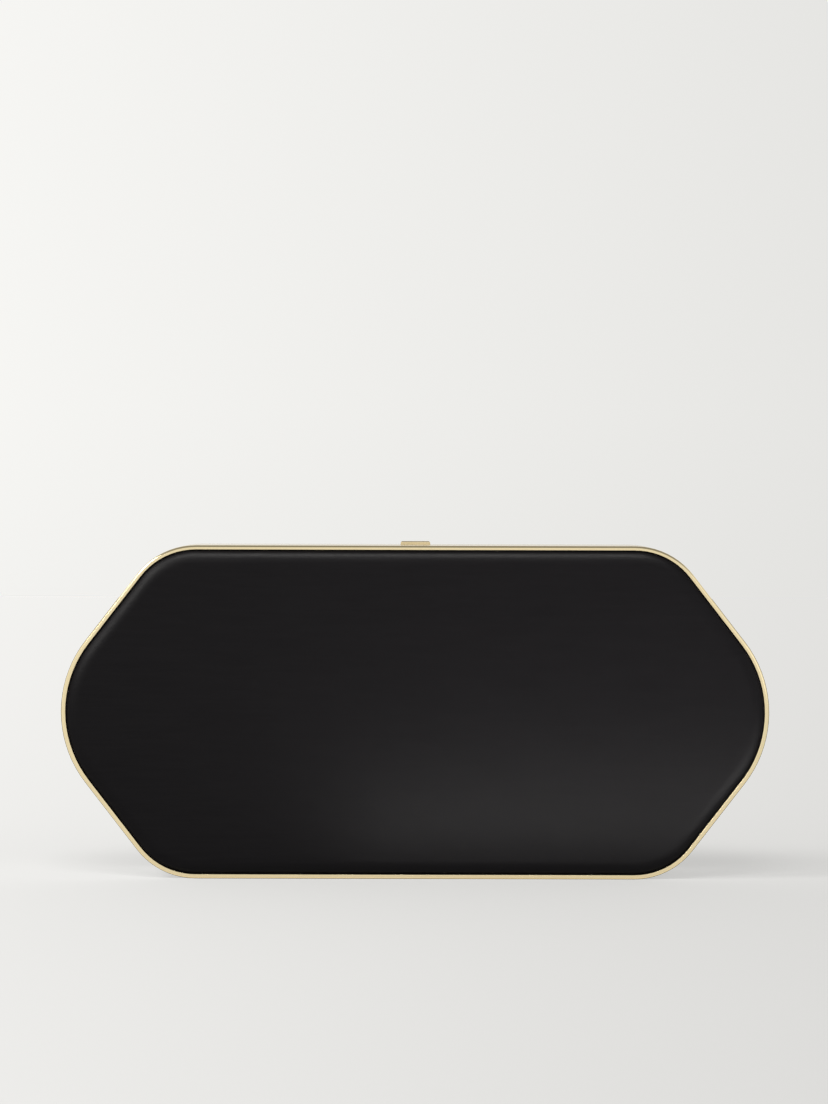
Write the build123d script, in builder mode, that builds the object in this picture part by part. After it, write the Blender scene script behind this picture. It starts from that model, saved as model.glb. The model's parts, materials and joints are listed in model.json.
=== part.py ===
"""Hinged box clutch: two padded satin halves in brass rims, hinged along the bottom edge.

Millimetres. +X runs along the case, +Z up, and the front half is towards -Y. The origin is the
middle of the bottom edge, on the parting plane and on the surface that the case stands on.
In each half, "out" means the distance from the parting plane towards that half's face.
"""

from build123d import *
import math
import os

# Outline of the case, seen from the front
width = 220.0
height = 103.6
side_slope = 52.3  # slanted sides, degrees from the horizontal
corner_radius = 23.0
side_radius = 36.0  # where two slanted sides meet

# Depths of one half
half_depth = 18.0
panel_crown = 1.8  # the satin stands this far out of the rim
parting_gap = 0.3  # between the two rims when shut
tray_setback = 0.6  # shell and lining stop this far out

# Brass rim
band_wall = 1.0
lip_width = 1.45
lip_thickness = 1.2
lip_outer_round = 0.9
lip_inner_round = 0.35
seam_chamfer = 0.2

# Layers inside the rim
glue_line = 0.05
shell_wall = 1.2
lining_wall = 0.8
cover_thickness = 0.5
panel_edge = 1.15  # wrapped edge of the padded panel, under the lip
panel_roll = 3.0  # where the padded face rolls down to the lip
face_clearance = 0.2  # between the lip and the padded face

# Piano hinge
pin_radius = 0.8
pin_clearance = 0.05
barrel_radius = 1.7
hinge_z = 1.75
hinge_length = 136.0
knuckle_count = 7
knuckle_gap = 0.2
leaf_thickness = 0.7
leaf_root = 1.95
leaf_reach = 8.5
hinge_end_gap = 0.3
hinge_slot_taper = 9.2  # the slot narrows over this length past each end of the hinge
shell_hinge_reach = 9.0
lining_hinge_reach = 2.3
hinge_notch_top = 4.0

# Push latch, centred in the top band; its button and housing are on the rear half
button_width = 9.3
button_depth = 4.6
button_out = 4.3
button_proud = 1.1
button_clearance = 0.15
button_end_chamfer = 0.4
button_round = 0.35
flange_margin = 0.9
flange_thickness = 1.0
flange_gap = 0.1
stem_width = 5.0
stem_depth = 2.6
stem_height = 0.7
tenon_radius = 0.9
hook_width = 7.0
hook_thickness = 1.0
hook_rear = 6.2
hook_tip = -3.5
nose_length = 1.0
nose_height = 0.8
nose_ramp = 0.6
spring_height = 4.7
spring_radius = 1.8
spring_wire = 0.4
spring_turns = 5
housing_half_width = 8.0
housing_wall = 0.8
housing_front = 0.8
housing_rear = 9.0
housing_round = 1.0
ear_length = 4.6
ear_front = 2.0
ear_rear = 8.0
strike_half_width = 9.0
strike_catch_half_width = 4.5
strike_thickness = 0.8
strike_catch_front = -2.3
strike_catch_wall = 1.0
strike_gap = 0.2
strike_reach = 8.6

# Notches that let the latch through the shell and the lining: half width and reach
shell_latch_notch = (13.4, 9.6)
lining_latch_notch = {"front": (4.6, 4.6), "rear": (8.6, 9.6)}
latch_notch_depth = 8.0

# Rivets: shank radius, head radius
hinge_rivet = (1.0, 1.6)
latch_rivet = (0.8, 1.25)
rivet_head_height = 0.4
countersink_depth = 0.6
hinge_rivet_count = 5
hinge_rivet_pitch = 29.0
hinge_rivet_out = 6.0
housing_rivet_place = (10.4, 5.0)
strike_rivet_place = (6.6, -6.0)

# Slip pocket on the rear lining
pocket_width = 116.0
pocket_height = 56.0
pocket_bottom = 13.0
pocket_thickness = 2.0
pocket_cloth = 0.6
pocket_hem = 2.5
pocket_corner = 6.0

# Worked out from the sizes above
middle_z = height / 2
slope = math.radians(side_slope)
vertex_x = width / 2 + side_radius * (1 / math.sin(slope) - 1)
corner_x = vertex_x - middle_z / math.tan(slope)
lip_back = half_depth - lip_thickness
shell_face = lip_back - glue_line - panel_edge
shell_floor = shell_face - shell_wall
lining_floor = shell_floor - lining_wall
panel_face = half_depth + panel_crown
shell_inset = band_wall + glue_line
lining_inset = shell_inset + shell_wall + glue_line
face_inset = lip_width + face_clearance
band_ceiling = height - band_wall
knuckle_pitch = hinge_length / knuckle_count
slot_half_length = hinge_length / 2 + hinge_end_gap
tray_notch_half_length = slot_half_length + hinge_slot_taper
flange_top = band_ceiling - flange_gap
stem_top = flange_top - flange_thickness
hook_top = stem_top - stem_height
hook_bottom = hook_top - hook_thickness
housing_floor = hook_bottom - spring_height
strike_face = band_ceiling - strike_thickness

# Each half's plane, whose normal points out of that half, and the sign of Y there
HALVES = {
    "front": (Plane.XZ, -1),
    "rear": (Plane(origin=(0, 0, 0), x_dir=(-1, 0, 0), z_dir=(0, 1, 0)), 1),
}

os.makedirs("parts", exist_ok=True)


def save(part, name):
    """Label a finished piece and write it."""
    part.label = name
    export_step(part, f"parts/{name}.step")


def outline(inset=0.0):
    """The case's rounded hexagon, drawn inside its outer edge by inset."""
    points = [
        (corner_x, height),
        (vertex_x, middle_z),
        (corner_x, 0),
        (-corner_x, 0),
        (-vertex_x, middle_z),
        (-corner_x, height),
    ]
    radii = [corner_radius, side_radius, corner_radius] * 2
    with BuildSketch(Plane.XY) as shape:
        with BuildLine():
            FilletPolyline(*points, radius=radii, close=True)
        make_face()
        if inset:
            offset(amount=-inset)
    return shape.sketch


def wall_section(inset, thickness):
    """A closed wall that follows the outline, from inset inwards."""
    return outline(inset) - outline(inset + thickness)


def notch(plane, half_width, reach, low, high):
    """A cutter across the parting edge, reach deep, between the heights low and high."""
    with BuildPart() as cutter:
        with BuildSketch(plane):
            with Locations((0, (low + high) / 2)):
                Rectangle(2 * half_width, high - low)
        extrude(amount=reach)
    return cutter.part


def rivet(radius, head_radius, grip):
    """A flush rivet standing on its countersunk end, with its formed head on top."""
    head_top = grip + rivet_head_height
    with BuildPart() as blank:
        with BuildSketch(Plane.XZ):
            with BuildLine():
                Polyline(
                    (0, 0),
                    (head_radius, 0),
                    (radius, countersink_depth),
                    (radius, grip),
                    (head_radius, grip),
                    (head_radius, head_top),
                    (0, head_top),
                    close=True,
                )
            make_face()
        revolve(axis=Axis.Z)
        fillet(blank.edges().group_by(Axis.Z)[-1], radius=rivet_head_height / 2)
    return blank.part


def rivet_set(blank, places):
    """One node of identical rivets at a list of places."""
    with BuildPart() as rivets:
        with Locations(*places):
            add(blank)
    return rivets.part


def make_rivets():
    """Every rivet set by name: up through the bottom band, or down through the top band."""
    bottom = rivet(*hinge_rivet, band_wall + leaf_thickness)
    top = rivet(*latch_rivet, band_wall + strike_thickness)
    first = -hinge_rivet_pitch * (hinge_rivet_count - 1) / 2
    row = [first + index * hinge_rivet_pitch for index in range(hinge_rivet_count)]
    sets = {
        f"{side}_hinge_rivets": rivet_set(bottom, [(x, sign * hinge_rivet_out, 0) for x in row])
        for side, (_, sign) in HALVES.items()
    }
    pairs = {"strike_rivets": strike_rivet_place, "latch_housing_rivets": housing_rivet_place}
    for name, (x, y) in pairs.items():
        upside_down = [Location((side * x, y, height), (180, 0, 0)) for side in (-1, 1)]
        sets[name] = rivet_set(top, upside_down)
    return sets


def make_rim(side, rivets):
    """Brass band with a rounded lip that holds the padded panel."""
    plane, _ = HALVES[side]
    out = Axis(plane.origin, plane.z_dir)
    with BuildPart() as rim:
        with BuildSketch(plane.offset(parting_gap / 2)):
            add(wall_section(0, band_wall))
        extrude(amount=half_depth - parting_gap / 2)
        with BuildSketch(plane.offset(lip_back)):
            add(wall_section(0, lip_width))
        extrude(amount=lip_thickness)
        lip_face = rim.faces().sort_by(out)[-1]
        fillet(lip_face.outer_wire().edges(), radius=lip_outer_round)
        lip_face = rim.faces().sort_by(out)[-1]
        fillet(lip_face.inner_wires()[0].edges(), radius=lip_inner_round)
        seam_face = rim.faces().sort_by(out)[0]
        chamfer(seam_face.outer_wire().edges(), length=seam_chamfer)
        with BuildSketch(Plane.XY.offset(-hinge_notch_top)):
            Rectangle(2 * slot_half_length, 2 * leaf_root)
            with Locations((-slot_half_length, 0), (slot_half_length, 0)):
                Ellipse(hinge_slot_taper, leaf_root)
        extrude(amount=2 * hinge_notch_top, mode=Mode.SUBTRACT)
        if side == "rear":
            with BuildSketch(Plane.XY.offset(band_ceiling - band_wall)):
                with Locations((0, button_out)):
                    Rectangle(
                        button_width + 2 * button_clearance, button_depth + 2 * button_clearance
                    )
            extrude(amount=3 * band_wall, mode=Mode.SUBTRACT)
        add(rivets, mode=Mode.SUBTRACT)
    return rim.part


def make_shell(side):
    """Moulded tray that stiffens the half, notched for the hinge leaf and the latch."""
    plane, _ = HALVES[side]
    half_width, reach = shell_latch_notch
    with BuildPart() as shell:
        with BuildSketch(plane.offset(tray_setback)):
            add(wall_section(shell_inset, shell_wall))
        extrude(amount=shell_face - tray_setback)
        with BuildSketch(plane.offset(shell_floor)):
            add(outline(shell_inset))
        extrude(amount=shell_wall)
        hinge_notch = (tray_notch_half_length, shell_hinge_reach, 0, hinge_notch_top)
        add(notch(plane, *hinge_notch), mode=Mode.SUBTRACT)
        latch_notch = (half_width, reach, height - latch_notch_depth, height)
        add(notch(plane, *latch_notch), mode=Mode.SUBTRACT)
    return shell.part


def make_lining(side):
    """Card tray covered with lining cloth, inside the shell."""
    plane, _ = HALVES[side]
    half_width, reach = lining_latch_notch[side]
    with BuildPart() as lining:
        with BuildSketch(plane.offset(tray_setback)):
            add(wall_section(lining_inset, lining_wall))
        extrude(amount=shell_floor - tray_setback)
        with BuildSketch(plane.offset(lining_floor)):
            add(outline(lining_inset))
        extrude(amount=lining_wall)
        hinge_notch = (tray_notch_half_length, lining_hinge_reach, 0, hinge_notch_top)
        add(notch(plane, *hinge_notch), mode=Mode.SUBTRACT)
        latch_notch = (half_width, reach, height - latch_notch_depth, height)
        add(notch(plane, *latch_notch), mode=Mode.SUBTRACT)
    return lining.part


def make_panel(side, skin):
    """Padded panel on the shell: a thin edge under the lip and a raised, rolled face.

    skin is how far the solid lies inside the satin's outer surface.
    """
    plane, _ = HALVES[side]
    out = Axis(plane.origin, plane.z_dir)
    with BuildPart() as panel:
        with BuildSketch(plane.offset(shell_face)):
            add(outline(shell_inset + skin))
        extrude(amount=panel_edge - skin)
        with BuildSketch(plane.offset(shell_face)):
            add(outline(face_inset + skin))
        extrude(amount=panel_face - shell_face - skin)
        fillet(panel.faces().sort_by(out)[-1].edges(), radius=panel_roll - skin)
    return panel.part


def make_cover(side, padding):
    """Satin pulled over the foam, with its edge tucked under the lip."""
    with BuildPart() as cover:
        add(make_panel(side, 0.0))
        add(padding, mode=Mode.SUBTRACT)
    return cover.part


def make_leaf(side, knuckles, rivets):
    """Hinge leaf on the bottom band, with its share of the knuckles; the end ones grip the pin."""
    _, sign = HALVES[side]
    with BuildPart() as leaf:
        with BuildSketch(Plane.XY.offset(band_wall)):
            with Locations((0, sign * (leaf_root + leaf_reach) / 2)):
                Rectangle(hinge_length, leaf_reach - leaf_root)
        extrude(amount=leaf_thickness)
        for index in knuckles:
            crimped = index in (0, knuckle_count - 1)
            start = index * knuckle_pitch - (hinge_length - knuckle_gap) / 2
            with BuildSketch(Plane.YZ.offset(start)):
                with Locations((0, hinge_z)):
                    Circle(barrel_radius)
                with Locations((sign * leaf_root / 2, band_wall + leaf_thickness / 2)):
                    Rectangle(leaf_root, leaf_thickness)
                with Locations((0, hinge_z)):
                    Circle(pin_radius if crimped else pin_radius + pin_clearance, mode=Mode.SUBTRACT)
            extrude(amount=knuckle_pitch - knuckle_gap)
        add(rivets, mode=Mode.SUBTRACT)
    return leaf.part


def make_pin():
    """Hinge pin through every knuckle."""
    length = hinge_length - knuckle_gap
    with BuildPart() as pin:
        with BuildSketch(Plane.YZ.offset(-length / 2)):
            with Locations((0, hinge_z)):
                Circle(pin_radius)
        extrude(amount=length)
    return pin.part


def make_button():
    """Push button: cap in the band's slot, captive flange, stem, and tenon for the hook."""
    with BuildPart() as button:
        with BuildSketch(Plane.XY.offset(flange_top)):
            with Locations((0, button_out)):
                Rectangle(button_width, button_depth)
        extrude(amount=height + button_proud - flange_top)
        top_edges = button.edges().group_by(Axis.Z)[-1]
        chamfer(top_edges.filter_by(Axis.Y), length=button_end_chamfer)
        top_edges = button.edges().group_by(Axis.Z)[-1]
        fillet(top_edges.filter_by(Axis.X), radius=button_round)
        with BuildSketch(Plane.XY.offset(stem_top)):
            with Locations((0, button_out)):
                Rectangle(button_width + 2 * flange_margin, button_depth + 2 * flange_margin)
        extrude(amount=flange_thickness)
        with BuildSketch(Plane.XY.offset(hook_top)):
            with Locations((0, button_out)):
                Rectangle(stem_width, stem_depth)
        extrude(amount=stem_height)
        with BuildSketch(Plane.XY.offset(hook_bottom)):
            with Locations((0, button_out)):
                Circle(tenon_radius)
        extrude(amount=hook_thickness)
    return button.part


def make_hook():
    """Steel plate staked on the button's tenon; its ramped nose stands up behind the strike."""
    nose_top = hook_top + nose_height
    with BuildPart() as hook:
        with BuildSketch(Plane.YZ.offset(-hook_width / 2)):
            with BuildLine():
                Polyline(
                    (hook_tip, hook_bottom),
                    (hook_rear, hook_bottom),
                    (hook_rear, hook_top),
                    (hook_tip + nose_length, hook_top),
                    (hook_tip + nose_length, nose_top),
                    (hook_tip + nose_ramp, nose_top),
                    (hook_tip, nose_top - nose_ramp),
                    close=True,
                )
            make_face()
        extrude(amount=hook_width)
        with BuildSketch(Plane.XY.offset(hook_bottom)):
            with Locations((0, button_out)):
                Circle(tenon_radius)
        extrude(amount=hook_thickness, mode=Mode.SUBTRACT)
    return hook.part


def make_spring():
    """Compression spring between the housing floor and the hook."""
    rise = spring_height - spring_wire
    pitch = rise / spring_turns
    axis_place = (0, button_out, housing_floor + spring_wire / 2)
    with BuildPart() as spring:
        with BuildLine():
            coil = Helix(pitch=pitch, height=rise, radius=spring_radius, center=axis_place)
        with BuildSketch(Plane(origin=coil @ 0, z_dir=coil % 0)):
            Circle(spring_wire / 2)
        sweep()
    return spring.part


def make_housing(rivets):
    """Folded steel box round the latch, open towards the front half, with two riveted ears."""
    depth = housing_rear - housing_front
    base = housing_floor - housing_wall
    with BuildPart() as housing:
        with BuildSketch(Plane.XY.offset(base)):
            with Locations((0, housing_front + depth / 2)):
                Rectangle(2 * housing_half_width, depth)
        extrude(amount=band_ceiling - base)
        fillet(
            housing.edges().filter_by(Axis.Z).group_by(Axis.Y)[-1],
            radius=housing_round,
        )
        with BuildSketch(Plane.XY.offset(housing_floor)):
            with Locations((0, housing_front + (depth - housing_wall) / 2)):
                Rectangle(2 * (housing_half_width - housing_wall), depth - housing_wall)
        extrude(amount=band_ceiling - housing_floor, mode=Mode.SUBTRACT)
        with BuildSketch(Plane.XY.offset(strike_face)):
            for end in (-1, 1):
                with Locations((end * (housing_half_width + ear_length / 2), (ear_front + ear_rear) / 2)):
                    Rectangle(ear_length, ear_rear - ear_front)
        extrude(amount=strike_thickness)
        add(rivets, mode=Mode.SUBTRACT)
    return housing.part


def make_strike(rivets):
    """Plate on the front band whose turned-down edge the hook's nose catches."""
    catch_bottom = hook_top + strike_gap
    catch_back = strike_catch_front + strike_catch_wall
    plate_depth = catch_back + strike_reach
    with BuildPart() as strike:
        with BuildSketch(Plane.XY.offset(strike_face)):
            with Locations((0, catch_back - plate_depth / 2)):
                Rectangle(2 * strike_half_width, plate_depth)
        extrude(amount=strike_thickness)
        with BuildSketch(Plane.XY.offset(catch_bottom)):
            with Locations((0, strike_catch_front + strike_catch_wall / 2)):
                Rectangle(2 * strike_catch_half_width, strike_catch_wall)
        extrude(amount=strike_face - catch_bottom)
        add(rivets, mode=Mode.SUBTRACT)
    return strike.part


def make_pocket():
    """Flat slip pocket against the rear lining's floor, hemmed on three sides, open at the top."""
    plane, _ = HALVES["rear"]
    hollow = pocket_thickness - pocket_cloth
    middle = pocket_bottom + pocket_height / 2
    with BuildPart() as pocket:
        with BuildSketch(plane.offset(lining_floor - pocket_thickness)):
            with Locations((0, middle)):
                RectangleRounded(pocket_width, pocket_height, pocket_corner)
            with Locations((0, pocket_bottom + pocket_height)):
                Rectangle(pocket_width, 2 * pocket_corner, align=(Align.CENTER, Align.MAX))
        extrude(amount=pocket_thickness)
        with BuildSketch(plane.offset(lining_floor - hollow)):
            with Locations((0, middle + pocket_hem)):
                Rectangle(pocket_width - 2 * pocket_hem, pocket_height)
        extrude(amount=hollow, mode=Mode.SUBTRACT)
    return pocket.part


rivet_sets = make_rivets()
latch_rivets = {"front": "strike_rivets", "rear": "latch_housing_rivets"}
knuckle_shares = {"rear": range(0, knuckle_count, 2), "front": range(1, knuckle_count, 2)}

for name, rivets in rivet_sets.items():
    save(rivets, name)

for side in HALVES:
    hinge_rivets = rivet_sets[f"{side}_hinge_rivets"]
    padding = make_panel(side, cover_thickness)
    save(make_rim(side, [hinge_rivets, rivet_sets[latch_rivets[side]]]), f"{side}_rim")
    save(make_shell(side), f"{side}_shell")
    save(padding, f"{side}_padding")
    save(make_cover(side, padding), f"{side}_cover")
    save(make_lining(side), f"{side}_lining")
    save(make_leaf(side, knuckle_shares[side], hinge_rivets), f"{side}_hinge_leaf")

save(make_pin(), "hinge_pin")
save(make_button(), "latch_button")
save(make_hook(), "latch_hook")
save(make_spring(), "latch_spring")
save(make_housing(rivet_sets["latch_housing_rivets"]), "latch_housing")
save(make_strike(rivet_sets["strike_rivets"]), "strike_plate")
save(make_pocket(), "inner_pocket")
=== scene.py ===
"""Looks for the satin box clutch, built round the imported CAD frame. Metres, same frame as the CAD.

+X runs along the case, +Z up, and the front half is towards -Y. In each half, "out" is the distance
from the parting plane y = 0 towards that half's face, and "inset" is the distance inwards from the
outer edge of the rounded hexagon.
"""

import json
import math

import bmesh
import bpy
import numpy as np
from mathutils import Matrix, Vector, noise

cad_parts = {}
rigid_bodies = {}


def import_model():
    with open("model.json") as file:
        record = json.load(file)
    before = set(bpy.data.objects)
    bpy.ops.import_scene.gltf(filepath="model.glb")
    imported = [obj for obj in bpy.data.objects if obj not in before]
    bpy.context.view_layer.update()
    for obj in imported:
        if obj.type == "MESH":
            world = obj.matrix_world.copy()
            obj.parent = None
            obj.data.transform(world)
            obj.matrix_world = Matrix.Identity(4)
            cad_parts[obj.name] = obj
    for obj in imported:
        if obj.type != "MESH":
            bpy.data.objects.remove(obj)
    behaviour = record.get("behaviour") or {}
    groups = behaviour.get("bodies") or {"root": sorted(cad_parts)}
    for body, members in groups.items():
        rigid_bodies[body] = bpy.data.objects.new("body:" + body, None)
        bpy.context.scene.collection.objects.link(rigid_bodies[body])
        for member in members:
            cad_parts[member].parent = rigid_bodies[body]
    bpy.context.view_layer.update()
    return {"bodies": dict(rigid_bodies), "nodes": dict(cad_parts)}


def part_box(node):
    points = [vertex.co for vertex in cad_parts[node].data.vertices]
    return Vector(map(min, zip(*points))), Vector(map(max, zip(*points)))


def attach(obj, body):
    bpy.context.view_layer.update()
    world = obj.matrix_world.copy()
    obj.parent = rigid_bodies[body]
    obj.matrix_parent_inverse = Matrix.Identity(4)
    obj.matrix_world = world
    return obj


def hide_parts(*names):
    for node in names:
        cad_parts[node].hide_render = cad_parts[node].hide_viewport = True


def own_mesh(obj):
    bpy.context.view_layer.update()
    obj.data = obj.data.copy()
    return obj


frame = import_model()
scene = bpy.context.scene
MM = 0.001
SIGNS = {"front": -1, "rear": 1}

# Sizes that the frame's boxes give
rim_low, rim_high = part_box("front_rim")
cover_low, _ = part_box("front_cover")
shell_low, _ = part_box("front_shell")
lining_low, lining_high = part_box("front_lining")
HEIGHT = rim_high.z
MIDDLE_Z = HEIGHT / 2
RIM_FACE = -rim_low.y
PANEL_FACE = -cover_low.y
PANEL_BACK = -shell_low.y
SHELL_INSET = shell_low.z
LINING_INSET = lining_low.z
LINING_BACK = -lining_low.y
LINING_EDGE = -lining_high.y

# Outline of the case
HALF_LENGTH = 110.0 * MM
SIDE_SLOPE = math.radians(52.3)
CORNER_RADIUS = 23.0 * MM
SIDE_RADIUS = 36.0 * MM

# Padded panel
LIP_BACK = RIM_FACE - 1.2 * MM
FACE_INSET = 1.70 * MM
ROLL_WIDTH = 4.4 * MM
CROWN = 0.5 * MM
COVER_THICKNESS = 0.4 * MM
COVER_GAP = 0.06 * MM
COVER_UNEVEN = 0.03 * MM
TURNED_IN = 9.0 * MM
TURN_IN_SHARE = 1.12  # the satin's area over the panel's, with what is turned in behind

# Rows of points over a half run in from the edge to RING_INSET, then to a line in the middle
RING_INSET = 14.0 * MM
SPINE_SHARE = 0.55

# Lining
LINING_WALL = 0.8 * MM
LINING_FILLET = 1.6 * MM
WALL_RUN = 0.55  # length of the wall round the tray, in metres
SPLIT_GAP = 0.02 * MM
HINGE_NOTCH = (77.5 * MM, 2.3 * MM)
LATCH_NOTCHES = {"front": (4.6 * MM, 4.6 * MM), "rear": (8.6 * MM, 9.6 * MM)}

# Slip pocket
POCKET_ROOM = 1.0 * MM
HEM_HEIGHT = 5.0 * MM
STITCH_INSET = 1.6 * MM
STITCH_PITCH = 3.0 * MM
STITCH_LENGTH = 2.1 * MM
THREAD = 0.36 * MM

# Latch spring
SPRING_WIRE = 0.4 * MM
SPRING_TURNS = 6.5
CLOSED_TURNS = 0.8


# ---------------------------------------------------------------- outline

def outline_corners():
    """The sharp hexagon's corners in order, each with its rounding radius: (x, z, radius)."""
    vertex_x = HALF_LENGTH + SIDE_RADIUS * (1 / math.sin(SIDE_SLOPE) - 1)
    corner_x = vertex_x - MIDDLE_Z / math.tan(SIDE_SLOPE)
    return [
        (corner_x, HEIGHT, CORNER_RADIUS),
        (-corner_x, HEIGHT, CORNER_RADIUS),
        (-vertex_x, MIDDLE_Z, SIDE_RADIUS),
        (-corner_x, 0.0, CORNER_RADIUS),
        (corner_x, 0.0, CORNER_RADIUS),
        (vertex_x, MIDDLE_Z, SIDE_RADIUS),
    ]


def outline_stations(step):
    """Points and outward normals round the outer edge, in (x, z), about step apart."""
    corners = outline_corners()
    arcs = []
    for i, (x, z, radius) in enumerate(corners):
        here = np.array((x, z))
        before = np.array(corners[i - 1][:2])
        after = np.array(corners[(i + 1) % len(corners)][:2])
        come = (here - before) / np.linalg.norm(here - before)
        go = (after - here) / np.linalg.norm(after - here)
        turn = math.acos(np.clip(come @ go, -1, 1))
        normal = np.array((come[1], -come[0]))
        centre = here - come * radius * math.tan(turn / 2) - normal * radius
        steps = math.ceil(turn * radius / step)
        angles = np.linspace(0, turn, steps + 1)
        normals = np.array([normal * math.cos(a) + come * math.sin(a) for a in angles])
        arcs.append((centre + normals * radius, normals))
    points, normals = [], []
    for i, (arc, arc_normals) in enumerate(arcs):
        points.extend(arc)
        normals.extend(arc_normals)
        start, end = arc[-1], arcs[(i + 1) % len(arcs)][0][0]
        steps = math.ceil(np.linalg.norm(end - start) / step)
        for k in range(1, steps):
            points.append(start + (end - start) * k / steps)
            normals.append(arc_normals[-1])
    return np.array(points), np.array(normals)


def split_stations(points, normals, places):
    """Add a close pair of stations wherever the outline crosses one of the x places."""
    for x in places:
        made_points, made_normals = [], []
        for i, here in enumerate(points):
            made_points.append(here)
            made_normals.append(normals[i])
            j = (i + 1) % len(points)
            run = points[j] - here
            if (here[0] - x) * (points[j][0] - x) >= 0:
                continue
            for side in (-SPLIT_GAP, SPLIT_GAP):
                t = min(max((x - here[0]) / run[0] + side / abs(run[0]), 0.002), 0.998)
                normal = normals[i] + (normals[j] - normals[i]) * t
                made_points.append(here + run * t)
                made_normals.append(normal / np.linalg.norm(normal))
        points, normals = np.array(made_points), np.array(made_normals)
    return points, normals


def outline_area(inset):
    """Area inside the outline at an inset, in square metres."""
    points, normals = outline_stations(2 * MM)
    x, z = (points - normals * inset).T
    return abs(np.sum(x * np.roll(z, -1) - z * np.roll(x, -1))) / 2


def row_at(flat, out):
    """A row of (x, y, z) points from (x, z) points, at y = out."""
    return np.stack((flat[:, 0], np.broadcast_to(out, len(flat)), flat[:, 1]), axis=1)


def spine_rings(points, normals, shares):
    """Rings of (x, z) points, from the one at RING_INSET (share 0) to a line in the middle (share 1)."""
    ring = points - normals * RING_INSET
    spine = np.stack((SPINE_SHARE * ring[:, 0], np.full(len(ring), MIDDLE_Z)), axis=1)
    return [ring + (spine - ring) * share for share in shares]


# ---------------------------------------------------------------- mesh helpers

def new_object(name, mesh_data, smooth=True):
    """A linked object from a mesh or a bmesh, at the origin."""
    if isinstance(mesh_data, bmesh.types.BMesh):
        mesh = bpy.data.meshes.new(name)
        mesh_data.to_mesh(mesh)
        mesh_data.free()
    else:
        mesh = mesh_data
        mesh.name = name
    for face in mesh.polygons:
        face.use_smooth = smooth
    piece = bpy.data.objects.new(name, mesh)
    scene.collection.objects.link(piece)
    return piece


def ring_mesh(rows, merge=1e-6):
    """A bmesh of quads between rows of points, each row closed round."""
    shape = bmesh.new()
    verts = [[shape.verts.new(point) for point in row] for row in rows]
    count = len(rows[0])
    for low, high in zip(verts, verts[1:]):
        for i in range(count):
            j = (i + 1) % count
            shape.faces.new((low[i], low[j], high[j], high[i]))
    bmesh.ops.remove_doubles(shape, verts=shape.verts, dist=merge)
    bmesh.ops.dissolve_degenerate(shape, dist=merge, edges=shape.edges)
    bmesh.ops.recalc_face_normals(shape, faces=shape.faces)
    return shape


def apply_modifier(piece, kind, **settings):
    """Add one modifier, then keep its result as the piece's own mesh."""
    modifier = piece.modifiers.new(kind.lower(), kind)
    for key, value in settings.items():
        setattr(modifier, key, value)
    graph = bpy.context.evaluated_depsgraph_get()
    graph.update()
    result = bpy.data.meshes.new_from_object(piece.evaluated_get(graph))
    piece.modifiers.clear()
    piece.data = result
    return piece


def place(piece, body, slot, material, *replaced):
    """Finish a piece: its material, its body and the CAD nodes that it stands for. The slot argument is
    not used.
    """
    piece.data.materials.clear()
    piece.data.materials.append(material)
    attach(piece, body)
    if replaced:
        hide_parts(*replaced)
    return piece


# ---------------------------------------------------------------- materials

class Nodes:
    """Short calls for the nodes of one node tree."""

    def __init__(self, tree):
        self.tree = tree

    def new(self, kind):
        return self.tree.nodes.new("ShaderNode" + kind)

    def node(self, kind, inputs=None, **settings):
        made = self.new(kind)
        for key, value in settings.items():
            setattr(made, key, value)
        for key, value in (inputs or {}).items():
            if isinstance(value, bpy.types.NodeSocket):
                self.tree.links.new(value, made.inputs[key])
            else:
                made.inputs[key].default_value = value
        return made

    def remap(self, value, low, high, source=(0.0, 1.0)):
        made = self.node(
            "MapRange",
            {"Value": value, "From Min": source[0], "From Max": source[1], "To Min": low, "To Max": high},
        )
        return made.outputs["Result"]

    def math(self, operation, first, second):
        return self.node("Math", {0: first, 1: second}, operation=operation).outputs[0]


class Shader(Nodes):
    """A new Principled material and short calls for its textures."""

    def __init__(self, name, **values):
        self.material = bpy.data.materials.new(name)
        self.material.use_nodes = True
        super().__init__(self.material.node_tree)
        self.surface = self.tree.nodes["Principled BSDF"]
        for key, value in values.items():
            self.surface.inputs[key.replace("_", " ")].default_value = value
        self.place = self.new("TexCoord").outputs["Object"]

    def stretched(self, scale):
        """Object coordinates times a scale per axis, in repeats per metre."""
        return self.node("Mapping", {"Vector": self.place, "Scale": scale}).outputs["Vector"]

    def noise(self, scale, detail=3.0):
        where = self.stretched(scale)
        made = self.node("TexNoise", {"Vector": where, "Scale": 1.0, "Detail": detail})
        return made.outputs["Fac"]

    def wave(self, scale, direction="X", distortion=0.0):
        where = self.stretched(scale)
        made = self.node(
            "TexWave",
            {"Vector": where, "Scale": 1.0, "Distortion": distortion},
            bands_direction=direction,
        )
        return made.outputs["Fac"]

    def tint(self, factor, first, second):
        made = self.node("Mix", {0: factor}, data_type="RGBA")
        made.inputs[6].default_value = (*first, 1)
        made.inputs[7].default_value = (*second, 1)
        return made.outputs[2]

    def bump(self, height, distance, strength=1.0, under=None):
        inputs = {"Height": height, "Distance": distance, "Strength": strength}
        if under is not None:
            inputs["Normal"] = under
        return self.node("Bump", inputs).outputs["Normal"]

    def link(self, **sockets):
        for key, value in sockets.items():
            self.tree.links.new(value, self.surface.inputs[key.replace("_", " ")])
        return self.material


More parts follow.
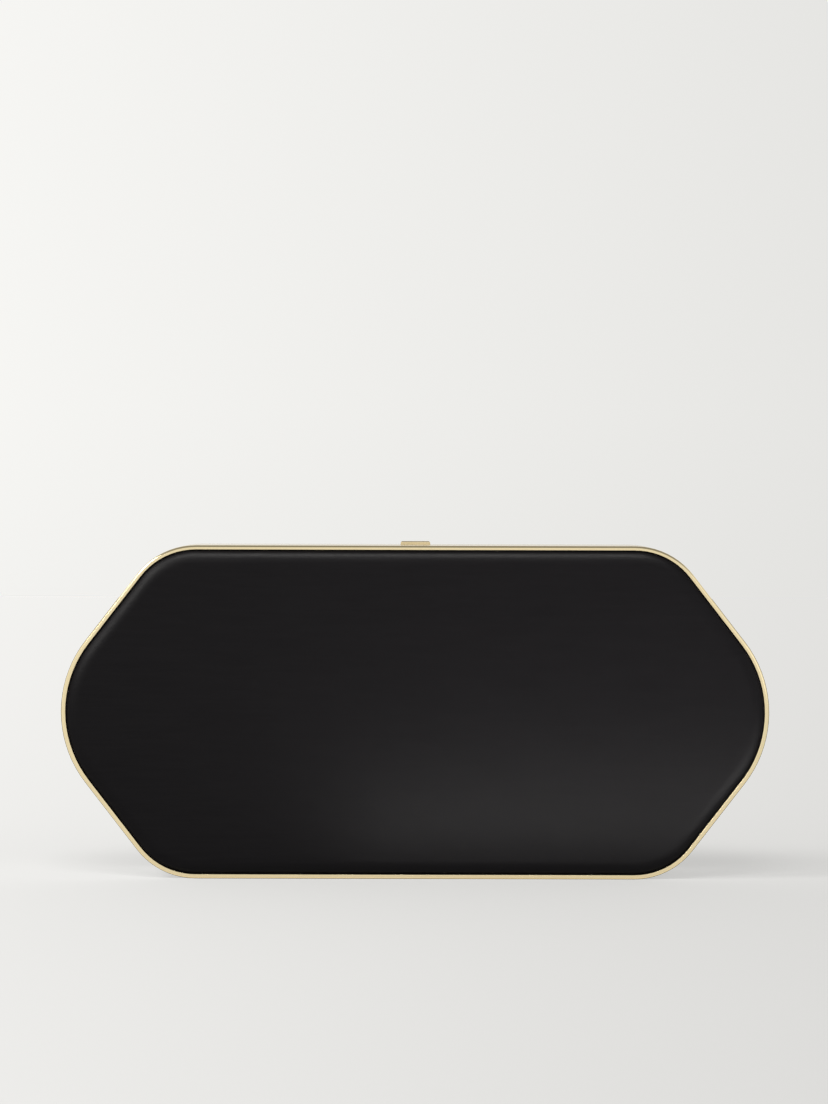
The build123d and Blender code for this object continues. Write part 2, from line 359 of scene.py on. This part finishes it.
def polished_brass():
    """Pale gold plating, polished, with faint buffing lines and handling marks."""
    s = Shader("polished_brass", Metallic=1.0)
    patches = s.noise((60, 60, 60), 2.0)
    lines = s.noise((60, 900, 2600), 4.0)
    marks = s.noise((1400, 1400, 1400), 2.0)
    gloss = s.math("ADD", s.remap(lines, 0.12, 0.17, (0.3, 0.7)), s.remap(marks, 0.0, 0.04, (0.55, 0.8)))
    normal = s.bump(lines, 0.003 * MM, 0.2)
    colour = s.tint(patches, (0.96, 0.82, 0.53), (0.93, 0.78, 0.48))
    return s.link(Base_Color=colour, Roughness=gloss, Normal=normal)


def satin_brass():
    """The same plating, brushed along the case, for the hinge, rivets and latch."""
    s = Shader("satin_brass", Metallic=1.0)
    brushed = s.noise((120, 6000, 6000), 3.0)
    patches = s.noise((150, 150, 150), 2.0)
    colour = s.tint(patches, (0.90, 0.76, 0.50), (0.80, 0.65, 0.40))
    normal = s.bump(brushed, 0.006 * MM, 0.5)
    return s.link(Base_Color=colour, Roughness=s.remap(brushed, 0.16, 0.34), Normal=normal)


def brushed_steel():
    """Zinc-plated steel inside the case, brushed along its length."""
    s = Shader("brushed_steel", Metallic=1.0)
    brushed = s.noise((150, 5000, 5000), 3.0)
    blotches = s.noise((400, 400, 400), 3.0)
    colour = s.tint(blotches, (0.60, 0.61, 0.62), (0.46, 0.46, 0.46))
    normal = s.bump(brushed, 0.008 * MM, 0.6)
    return s.link(Base_Color=colour, Roughness=s.remap(brushed, 0.34, 0.50), Normal=normal)


def moulded_plastic():
    """Matt black moulded tray with a fine spark-eroded grain."""
    s = Shader("moulded_plastic", Specular_IOR_Level=0.4)
    grain = s.noise((3500, 3500, 3500), 2.0)
    patches = s.noise((90, 90, 90), 2.0)
    colour = s.tint(patches, (0.014, 0.014, 0.015), (0.022, 0.021, 0.021))
    normal = s.bump(grain, 0.03 * MM, 0.5)
    return s.link(Base_Color=colour, Roughness=s.remap(grain, 0.5, 0.68), Normal=normal)


def foam_sheet():
    """Fine open-cell foam, warm grey, with painted shade darkening the hollow middle of each cell."""
    s = Shader("foam_sheet", Roughness=0.95, Specular_IOR_Level=0.2)
    cells = s.node("TexVoronoi", {"Vector": s.place, "Scale": 1400.0}).outputs["Distance"]
    normal = s.bump(cells, 0.25 * MM, 0.8)
    # The colour darkens towards each cell's hollow middle, where the bump sinks: painted shade in the
    # pores.
    colour = s.tint(cells, (0.10, 0.095, 0.09), (0.22, 0.21, 0.20))
    return s.link(Base_Color=colour, Normal=normal)


def black_satin():
    """Duchesse satin: long floats along the case over a fine weft, with slubs and a soft sheen."""
    s = Shader(
        "black_satin",
        Specular_IOR_Level=0.068,
        Sheen_Weight=0.14,
        Sheen_Roughness=0.25,
        Sheen_Tint=(0.62, 0.58, 0.66, 1),
        Anisotropic=0.35,
    )
    floats = s.noise((900, 900, 7000), 1.0)
    ribs = s.wave((0.0, 0.0, 1500.0), "Z", 0.6)
    slubs = s.noise((70, 70, 1600), 3.0)
    patches = s.noise((45, 45, 45), 2.0)
    weave = s.math("ADD", s.remap(floats, 0.0, 0.7), s.remap(ribs, 0.0, 0.3))
    normal = s.bump(weave, 0.030 * MM, 0.7)
    normal = s.bump(slubs, 0.04 * MM, 0.5, normal)
    gloss = s.math("ADD", s.remap(floats, 0.33, 0.44), s.remap(patches, -0.03, 0.04))
    colour = s.tint(slubs, (0.0016, 0.0014, 0.0017), (0.0030, 0.0027, 0.0031))
    return s.link(Base_Color=colour, Roughness=gloss, Normal=normal)


def lining_cloth():
    """Plain-weave black lining, a little greyer and more matt than the satin."""
    s = Shader("lining_cloth", Specular_IOR_Level=0.3, Sheen_Weight=0.15, Sheen_Roughness=0.5)
    warp = s.wave((1300.0, 0.0, 0.0), "X", 0.8)
    weft = s.wave((0.0, 1300.0, 1300.0), "DIAGONAL", 0.8)
    fuzz = s.noise((2600, 2600, 2600), 3.0)
    patches = s.noise((60, 60, 60), 3.0)
    weave = s.math("ADD", s.remap(warp, 0.0, 0.5), s.remap(weft, 0.0, 0.5))
    normal = s.bump(weave, 0.05 * MM, 0.5)
    normal = s.bump(fuzz, 0.04 * MM, 0.4, normal)
    colour = s.tint(patches, (0.009, 0.008, 0.0088), (0.016, 0.0145, 0.0155))
    return s.link(Base_Color=colour, Roughness=s.remap(fuzz, 0.62, 0.82), Normal=normal)


def sewing_thread():
    """Twisted grey-black thread with a slight sheen."""
    s = Shader("sewing_thread", Specular_IOR_Level=0.45, Sheen_Weight=0.2)
    twist = s.wave((2600.0, 2600.0, 2600.0), "DIAGONAL", 0.4)
    fuzz = s.noise((4000, 4000, 4000), 2.0)
    colour = s.tint(fuzz, (0.060, 0.056, 0.060), (0.100, 0.094, 0.100))
    normal = s.bump(twist, 0.05 * MM, 0.5)
    return s.link(Base_Color=colour, Roughness=s.remap(fuzz, 0.4, 0.6), Normal=normal)


# ---------------------------------------------------------------- padded panel

def panel_profile():
    """(inset, out) points of the satin's outer side, from its turned-in back edge to the crown."""
    edge = SHELL_INSET + 0.1 * MM
    back = PANEL_BACK + 0.05 * MM
    under_lip = LIP_BACK - 0.05 * MM
    points = [(TURNED_IN, back), (4 * MM, back), (edge + 0.3 * MM, back)]
    points += [(edge + 0.05 * MM, back + 0.12 * MM), (edge, back + 0.4 * MM)]
    points += [(edge, under_lip - 0.35 * MM), (edge + 0.07 * MM, under_lip - 0.08 * MM)]
    points += [(edge + 0.3 * MM, under_lip), (FACE_INSET - 0.12 * MM, under_lip)]
    points += [(FACE_INSET, LIP_BACK + 0.12 * MM)]
    foot = LIP_BACK + 0.3 * MM
    rise = PANEL_FACE - CROWN - foot
    for a in np.linspace(0, math.pi / 2, 15):
        points.append((FACE_INSET + ROLL_WIDTH * (1 - math.cos(a)), foot + rise * math.sin(a)))
    return points


def panel_rows(sign, skin, step):
    """Rows of points over one panel, skin below the satin's outer side."""
    points, normals = outline_stations(step)
    profile = np.array(panel_profile())
    tangents = np.gradient(profile, axis=0)
    tangents /= np.linalg.norm(tangents, axis=1)[:, None]
    profile = profile + np.stack((tangents[:, 1], -tangents[:, 0]), axis=1) * skin
    rows = [row_at(points - normals * inset, sign * out) for inset, out in profile]
    rim_inset, rim_out = profile[-1]

    def crowned(t):
        """How far out the face is, from t = 0 where the roll ends to t = 1 in the middle."""
        return sign * (rim_out + CROWN * (1 - (1 - t) ** 2))

    for inset in np.linspace(rim_inset, RING_INSET, 7)[1:]:
        rows.append(row_at(points - normals * inset, crowned((inset - rim_inset) / MIDDLE_Z)))
    first = (RING_INSET - rim_inset) / MIDDLE_Z
    shares = np.arange(1, 13) / 12
    for share, flat in zip(shares, spine_rings(points, normals, shares)):
        rows.append(row_at(flat, crowned(first + (1 - first) * share)))
    return rows


def make_cover(side, material):
    """Satin pulled over the pad and turned in behind it."""
    sign = SIGNS[side]
    shape = ring_mesh(panel_rows(sign, 0.0, 1.5 * MM), merge=0.01 * MM)
    piece = new_object(f"{side}_satin_cover", shape)
    for vertex in piece.data.vertices:
        if abs(vertex.co.y) > PANEL_BACK + 1.5 * MM:
            vertex.co.y += sign * COVER_UNEVEN * noise.noise(vertex.co * 60)
    apply_modifier(piece, "SOLIDIFY", thickness=COVER_THICKNESS, offset=-1.0)
    place(piece, f"{side}_half", "black_satin", material, f"{side}_cover")
    area = outline_area(SHELL_INSET) * TURN_IN_SHARE
    return piece


def make_pad(side, material):
    """Foam pad under the satin."""
    rows = panel_rows(SIGNS[side], COVER_THICKNESS + COVER_GAP, 2.0 * MM)
    shape = ring_mesh(rows, merge=0.01 * MM)
    rim = [edge for edge in shape.edges if edge.is_boundary]
    bmesh.ops.holes_fill(shape, edges=rim)
    bmesh.ops.recalc_face_normals(shape, faces=shape.faces)
    piece = new_object(f"{side}_foam_pad", shape)
    place(piece, f"{side}_half", "foam", material, f"{side}_padding")
    return piece


# ---------------------------------------------------------------- lining

def lining_edge_out(side, x, z):
    """How far out the lining's wall starts at a place on the outline, past any notch there."""
    hinge_half, hinge_out = HINGE_NOTCH
    latch_half, latch_out = LATCH_NOTCHES[side]
    if z < 0.1 * HEIGHT and abs(x) < hinge_half:
        return hinge_out
    if z > 0.9 * HEIGHT and abs(x) < latch_half:
        return latch_out
    return LINING_EDGE


def lining_rows(side, points, normals):
    """Rows of points that run from the tray's inner middle, up its wall, over and back outside."""
    sign = SIGNS[side]
    edges = np.array([lining_edge_out(side, x, z) for x, z in points])
    inner = LINING_INSET + LINING_WALL
    floor = LINING_BACK - LINING_WALL
    fillet = LINING_FILLET
    shares = np.linspace(0, 1, 7)
    rows = [row_at(flat, sign * floor) for flat in spine_rings(points, normals, shares[::-1])]

    def add(inset, out):
        rows.append(row_at(points - normals * inset, sign * out))

    add(inner + fillet, floor)
    for a in np.linspace(0, math.pi / 2, 6)[1:]:
        add(inner + fillet * (1 - math.sin(a)), floor - fillet * (1 - math.cos(a)))
    wall_top = floor - fillet
    for share in (0.35, 0.7):
        add(inner, wall_top + (edges + 0.4 * MM - wall_top) * share)
    half = LINING_WALL / 2
    for a in np.linspace(0, math.pi, 7):
        add(inner - half + half * math.cos(a), edges + half - half * math.sin(a))
    for share in (0.3, 0.7):
        add(LINING_INSET, edges + half + (LINING_BACK - 0.5 * MM - edges - half) * share)
    add(LINING_INSET, LINING_BACK - 0.5 * MM)
    add(LINING_INSET + 0.15 * MM, LINING_BACK - 0.15 * MM)
    add(LINING_INSET + 0.5 * MM, LINING_BACK)
    return rows + [row_at(flat, sign * LINING_BACK) for flat in spine_rings(points, normals, shares)]


def make_lining(side, material):
    """Card tray wrapped in lining cloth."""
    latch_half, _ = LATCH_NOTCHES[side]
    hinge_half, _ = HINGE_NOTCH
    ends = (-latch_half, latch_half, -hinge_half, hinge_half)
    points, normals = split_stations(*outline_stations(2 * MM), ends)
    shape = ring_mesh(lining_rows(side, points, normals), merge=0.005 * MM)
    piece = new_object(f"{side}_tray_lining", shape)
    place(piece, f"{side}_half", "lining_cloth", material, f"{side}_lining")
    area = outline_area(LINING_INSET) + WALL_RUN * (LINING_BACK - LINING_EDGE)
    return piece


# ---------------------------------------------------------------- pocket

def pocket_point(u, v):
    """A place on the pocket's front: u runs from -1 to 1 along it and v from 0 to 1 up it."""
    low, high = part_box("inner_pocket")
    depth = high.y - low.y
    width, height = high.x - low.x, high.z - low.z
    radius = 6 * MM
    drop = max(0.0, radius - v * height)
    reach = width / 2 - (radius - math.sqrt(max(0.0, radius ** 2 - drop ** 2)))
    across = math.sin(math.pi * (0.5 + 0.5 * u)) ** 0.55
    bulge = (depth - POCKET_ROOM) * across * (1 - (1 - v) ** 2.4)
    x, z = u * reach, low.z + v * height
    ripple = 0.10 * MM * across * noise.noise(Vector((x * 55, 0.3, z * 40)))
    return Vector((x, high.y - 0.5 * MM - bulge - ripple, z))


def pocket_sheet(name, bottom, rows, columns, lift, thickness):
    """A thin sheet on the pocket's front, from v = bottom to its top, lift off its surface."""
    shape = bmesh.new()
    grid = []
    for j in range(rows + 1):
        v = bottom + (1 - bottom) * j / rows
        line = [pocket_point(2 * i / columns - 1, v) - Vector((0, lift, 0)) for i in range(columns + 1)]
        grid.append([shape.verts.new(point) for point in line])
    for low, high in zip(grid, grid[1:]):
        for i in range(columns):
            shape.faces.new((low[i], low[i + 1], high[i + 1], high[i]))
    bmesh.ops.recalc_face_normals(shape, faces=shape.faces)
    piece = new_object(name, shape)
    if piece.data.polygons[0].normal.y > 0:
        piece.data.flip_normals()
    return apply_modifier(piece, "SOLIDIFY", thickness=thickness, offset=-1.0)


def pocket_stitches(material):
    """Thread stitches down the pocket's sides, along its bottom and under its hem."""
    low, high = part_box("inner_pocket")
    width, height = high.x - low.x, high.z - low.z
    across, up = int(width / STITCH_PITCH), int(height / STITCH_PITCH)
    side_u = 1 - 2 * STITCH_INSET / width
    bottom_v, hem_v = STITCH_INSET / height, 1 - HEM_HEIGHT / height
    lines = [[(-side_u, bottom_v + (1 - bottom_v) * k / up) for k in range(3, up)]]
    lines.append([(side_u, v) for _, v in lines[0]])
    for v in (bottom_v, hem_v):
        lines.append([(side_u * (2 * k / across - 1), v) for k in range(2, across - 1)])
    shape = bmesh.new()
    for n, line in enumerate(lines):
        upright = n < 2
        for u, v in line:
            step = (0, 0.5 * STITCH_LENGTH / height) if upright else (STITCH_LENGTH / width, 0)
            first = pocket_point(u - step[0], v - step[1])
            last = pocket_point(u + step[0], min(v + step[1], 1))
            lift = Vector((0, THREAD * 0.5 + (0.3 * MM if v >= hem_v - 0.001 else 0.0), 0))
            made = bmesh.ops.create_uvsphere(shape, u_segments=8, v_segments=6, radius=0.5)["verts"]
            turn = (last - first).to_track_quat("Z", "Y").to_matrix().to_4x4()
            size = Matrix.Diagonal((THREAD, THREAD, (last - first).length, 1))
            spot = Matrix.Translation((first + last) / 2 - lift)
            bmesh.ops.transform(shape, matrix=spot @ turn @ size, verts=made)
    piece = new_object("pocket_stitches", shape)
    return place(piece, "rear_half", "lining_cloth", material)


def make_pocket(material, thread):
    """Slip pocket sewn to the rear lining on three sides, with a folded hem at its open top."""
    low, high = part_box("inner_pocket")
    width, height = high.x - low.x, high.z - low.z
    piece = pocket_sheet("slip_pocket", 0.0, 44, 78, 0.0, 0.4 * MM)
    place(piece, "rear_half", "lining_cloth", material, "inner_pocket")
    hem = pocket_sheet("pocket_hem", 1 - HEM_HEIGHT / height, 6, 78, 0.27 * MM, 0.25 * MM)
    place(hem, "rear_half", "lining_cloth", material)
    stitches = pocket_stitches(thread)
    return piece


# ---------------------------------------------------------------- spring

def make_spring(material):
    """Compression spring with closed, ground ends."""
    low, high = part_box("latch_spring")
    centre = (low + high) / 2
    per_turn, around = 32, 10
    half = SPRING_WIRE / 2
    bottom, top = low.z + half, high.z - half
    radius = (high.x - low.x) / 2 - half
    shape = bmesh.new()
    rings = []
    for k in range(int(SPRING_TURNS * per_turn) + 1):
        turn = k / per_turn
        share = min(max((turn - CLOSED_TURNS) / (SPRING_TURNS - 2 * CLOSED_TURNS), 0.0), 1.0)
        angle = 2 * math.pi * turn
        away = Vector((math.cos(angle), math.sin(angle), 0))
        middle = away * radius + Vector((0, centre.y, bottom + (top - bottom) * share))
        ring = []
        for i in range(around):
            b = 2 * math.pi * i / around
            offset = away * math.cos(b) * half + Vector((0, 0, math.sin(b) * half))
            ring.append(shape.verts.new(middle + offset))
        rings.append(ring)
    for first, second in zip(rings, rings[1:]):
        for i in range(around):
            j = (i + 1) % around
            shape.faces.new((first[i], first[j], second[j], second[i]))
    shape.faces.new(rings[0])
    shape.faces.new(rings[-1])
    bmesh.ops.recalc_face_normals(shape, faces=shape.faces)
    piece = new_object("button_spring", shape)
    place(piece, "rear_half", "steel_inside", material, "latch_spring")
    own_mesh(piece)
    return piece


# ---------------------------------------------------------------- studio

FLOOR_REACH = 3.0
FLAP_DEPTH = 0.5


def make_world():
    """Pale surroundings by direction: level in front, a little darker behind on the right, dim overhead.

    The floor below lets these colours show, and adds the shadows and a faint glow.
    """
    world = bpy.data.worlds.new("studio")
    scene.world = world
    world.use_nodes = True
    s = Nodes(world.node_tree)
    background = world.node_tree.nodes["Background"]
    way = s.node("SeparateXYZ", {"Vector": s.new("TexCoord").outputs["Generated"]}).outputs
    level = s.remap(way["Z"], 0.80, 0.87, (-0.12, 0.02))
    ceiling = s.remap(way["Z"], 1.0, 0.33, (0.50, 0.72))
    behind = s.remap(way["Y"], 0.0, 1.0, (-0.2, 0.4))
    back = s.remap(way["X"], 1.07, 0.90, (-0.12, 0.12))
    front = s.remap(way["X"], 0.98, 0.96, (-0.8, 0.4))
    side = s.node("Mix", {0: behind, 2: front, 3: back}, data_type="FLOAT").outputs[0]
    strength = s.math("MULTIPLY", s.math("MULTIPLY", level, ceiling), side)
    background.inputs["Color"].default_value = (1.0, 0.995, 0.97, 1)
    world.node_tree.links.new(strength, background.inputs["Strength"])


def floor_piece(name, near, far, material):
    """A level shadow-catching rectangle between two y places, wide on both sides."""
    shape = bmesh.new()
    places = ((-FLOOR_REACH, near), (FLOOR_REACH, near), (FLOOR_REACH, far), (-FLOOR_REACH, far))
    shape.faces.new([shape.verts.new((x, y, 0.0)) for x, y in places])
    piece = new_object(name, shape, smooth=False)
    piece.data.materials.append(material)
    piece.is_shadow_catcher = True
    return piece


def make_floor():
    """Pale table that shows shadows and reflected light only, and ends under the case.

    In front of the hinge it is a flap that drops with the front half as the case opens, so that
    the open half hangs clear, as over the edge of a table.
    """
    s = Shader("studio_floor", Roughness=0.9, Specular_IOR_Level=0.1, Emission_Strength=0.40)
    s.surface.inputs["Base Color"].default_value = (0.40, 0.397, 0.387, 1)
    s.surface.inputs["Emission Color"].default_value = (1.0, 0.995, 0.97, 1)
    floor_piece("studio_floor", 0.0, FLOOR_REACH, s.material)
    flap = floor_piece("floor_flap", -FLAP_DEPTH, 0.0, s.material)
    flap.parent = frame["bodies"]["front_half"]
    flap.matrix_parent_inverse = frame["bodies"]["front_half"].matrix_world.inverted()


def area_light(name, place_at, target, size, power, colour, glossy=True):
    """A softbox at a place, turned towards a target."""
    light = bpy.data.lights.new(name, "AREA")
    light.shape = "RECTANGLE"
    light.size, light.size_y = size
    light.energy = power
    light.color = colour
    lamp = bpy.data.objects.new(name, light)
    scene.collection.objects.link(lamp)
    lamp.location = place_at
    lamp.rotation_euler = (Vector(target) - Vector(place_at)).to_track_quat("-Z", "Y").to_euler()
    lamp.visible_glossy = glossy
    lamp.visible_camera = False
    return lamp


def light_only(lamp, pieces):
    """Let a lamp light the given pieces and nothing else."""
    receivers = bpy.data.collections.new(f"{lamp.name}_receivers")
    for piece in pieces:
        receivers.objects.link(piece)
    lamp.light_linking.receiver_collection = receivers


def make_lights(fabrics):
    """Softboxes at the upper left, right and front and over the near floor.

    Three more lights fall on the cloth alone: two for its sheen, and one at its foot.
    """
    middle = (0, 0, MIDDLE_Z)
    warm = (1.0, 0.985, 0.96)
    area_light("key", (-1.1, -0.5, 1.1), middle, (0.5, 0.5), 8, warm)
    light_only(area_light("sheen_above", (-0.15, -0.95, 1.35), middle, (1.1, 0.2), 34, warm), fabrics)
    light_only(area_light("sheen_left", (-0.95, -1.1, 0.8), middle, (0.3, 0.3), 18, warm), fabrics)
    area_light("right", (1.9, -0.9, 0.7), middle, (1.2, 1.0), 1.5, warm)
    area_light("front", (-0.3, -1.5, 2.3), middle, (1.6, 1.2), 14, warm, glossy=False)
    area_light("near_floor", (-0.1, -0.9, 1.3), (0, -0.12, 0), (0.5, 0.3), 2.5, warm, glossy=False)
    card = area_light("floor_card", (0.09, -0.10, 0.001), (0.09, -0.10, 1), (0.22, 0.08), 0.55, warm)
    light_only(card, fabrics)


def make_camera():
    """The camera looks slightly down on the case from 1.2 m in front of it."""
    camera = bpy.data.cameras.new("camera")
    camera.sensor_fit = "VERTICAL"
    camera.sensor_height = 36
    camera.lens = 125.9
    camera.clip_end = 20
    eye = bpy.data.objects.new("camera", camera)
    scene.collection.objects.link(eye)
    eye.location = (-0.5 * MM, -(RIM_FACE + 1.198), 122.0 * MM)
    eye.rotation_euler = (math.radians(90 - 0.974), math.radians(-0.14), 0)
    scene.camera = eye


# ---------------------------------------------------------------- build

gold = polished_brass()
hardware = satin_brass()
steel = brushed_steel()
plastic = moulded_plastic()
foam = foam_sheet()
satin = black_satin()
lining = lining_cloth()
thread = sewing_thread()

CAD_FINISHES = {
    "front_rim": gold,
    "rear_rim": gold,
    "front_hinge_leaf": hardware,
    "rear_hinge_leaf": hardware,
    "hinge_pin": steel,
    "front_hinge_rivets": hardware,
    "rear_hinge_rivets": hardware,
    "latch_button": hardware,
    "latch_hook": steel,
    "latch_housing": hardware,
    "latch_housing_rivets": hardware,
    "strike_plate": hardware,
    "strike_rivets": hardware,
    "front_shell": plastic,
    "rear_shell": plastic,
}

for name, finish in CAD_FINISHES.items():
    node = frame["nodes"][name]
    node.data.materials.clear()
    node.data.materials.append(finish)

fabrics = []
for side in SIGNS:
    make_pad(side, foam)
    fabrics.append(make_cover(side, satin))
    fabrics.append(make_lining(side, lining))

make_pocket(lining, thread)
make_spring(steel)
make_world()
make_floor()
make_lights(fabrics)
make_camera()
scene.view_settings.view_transform = "Standard"
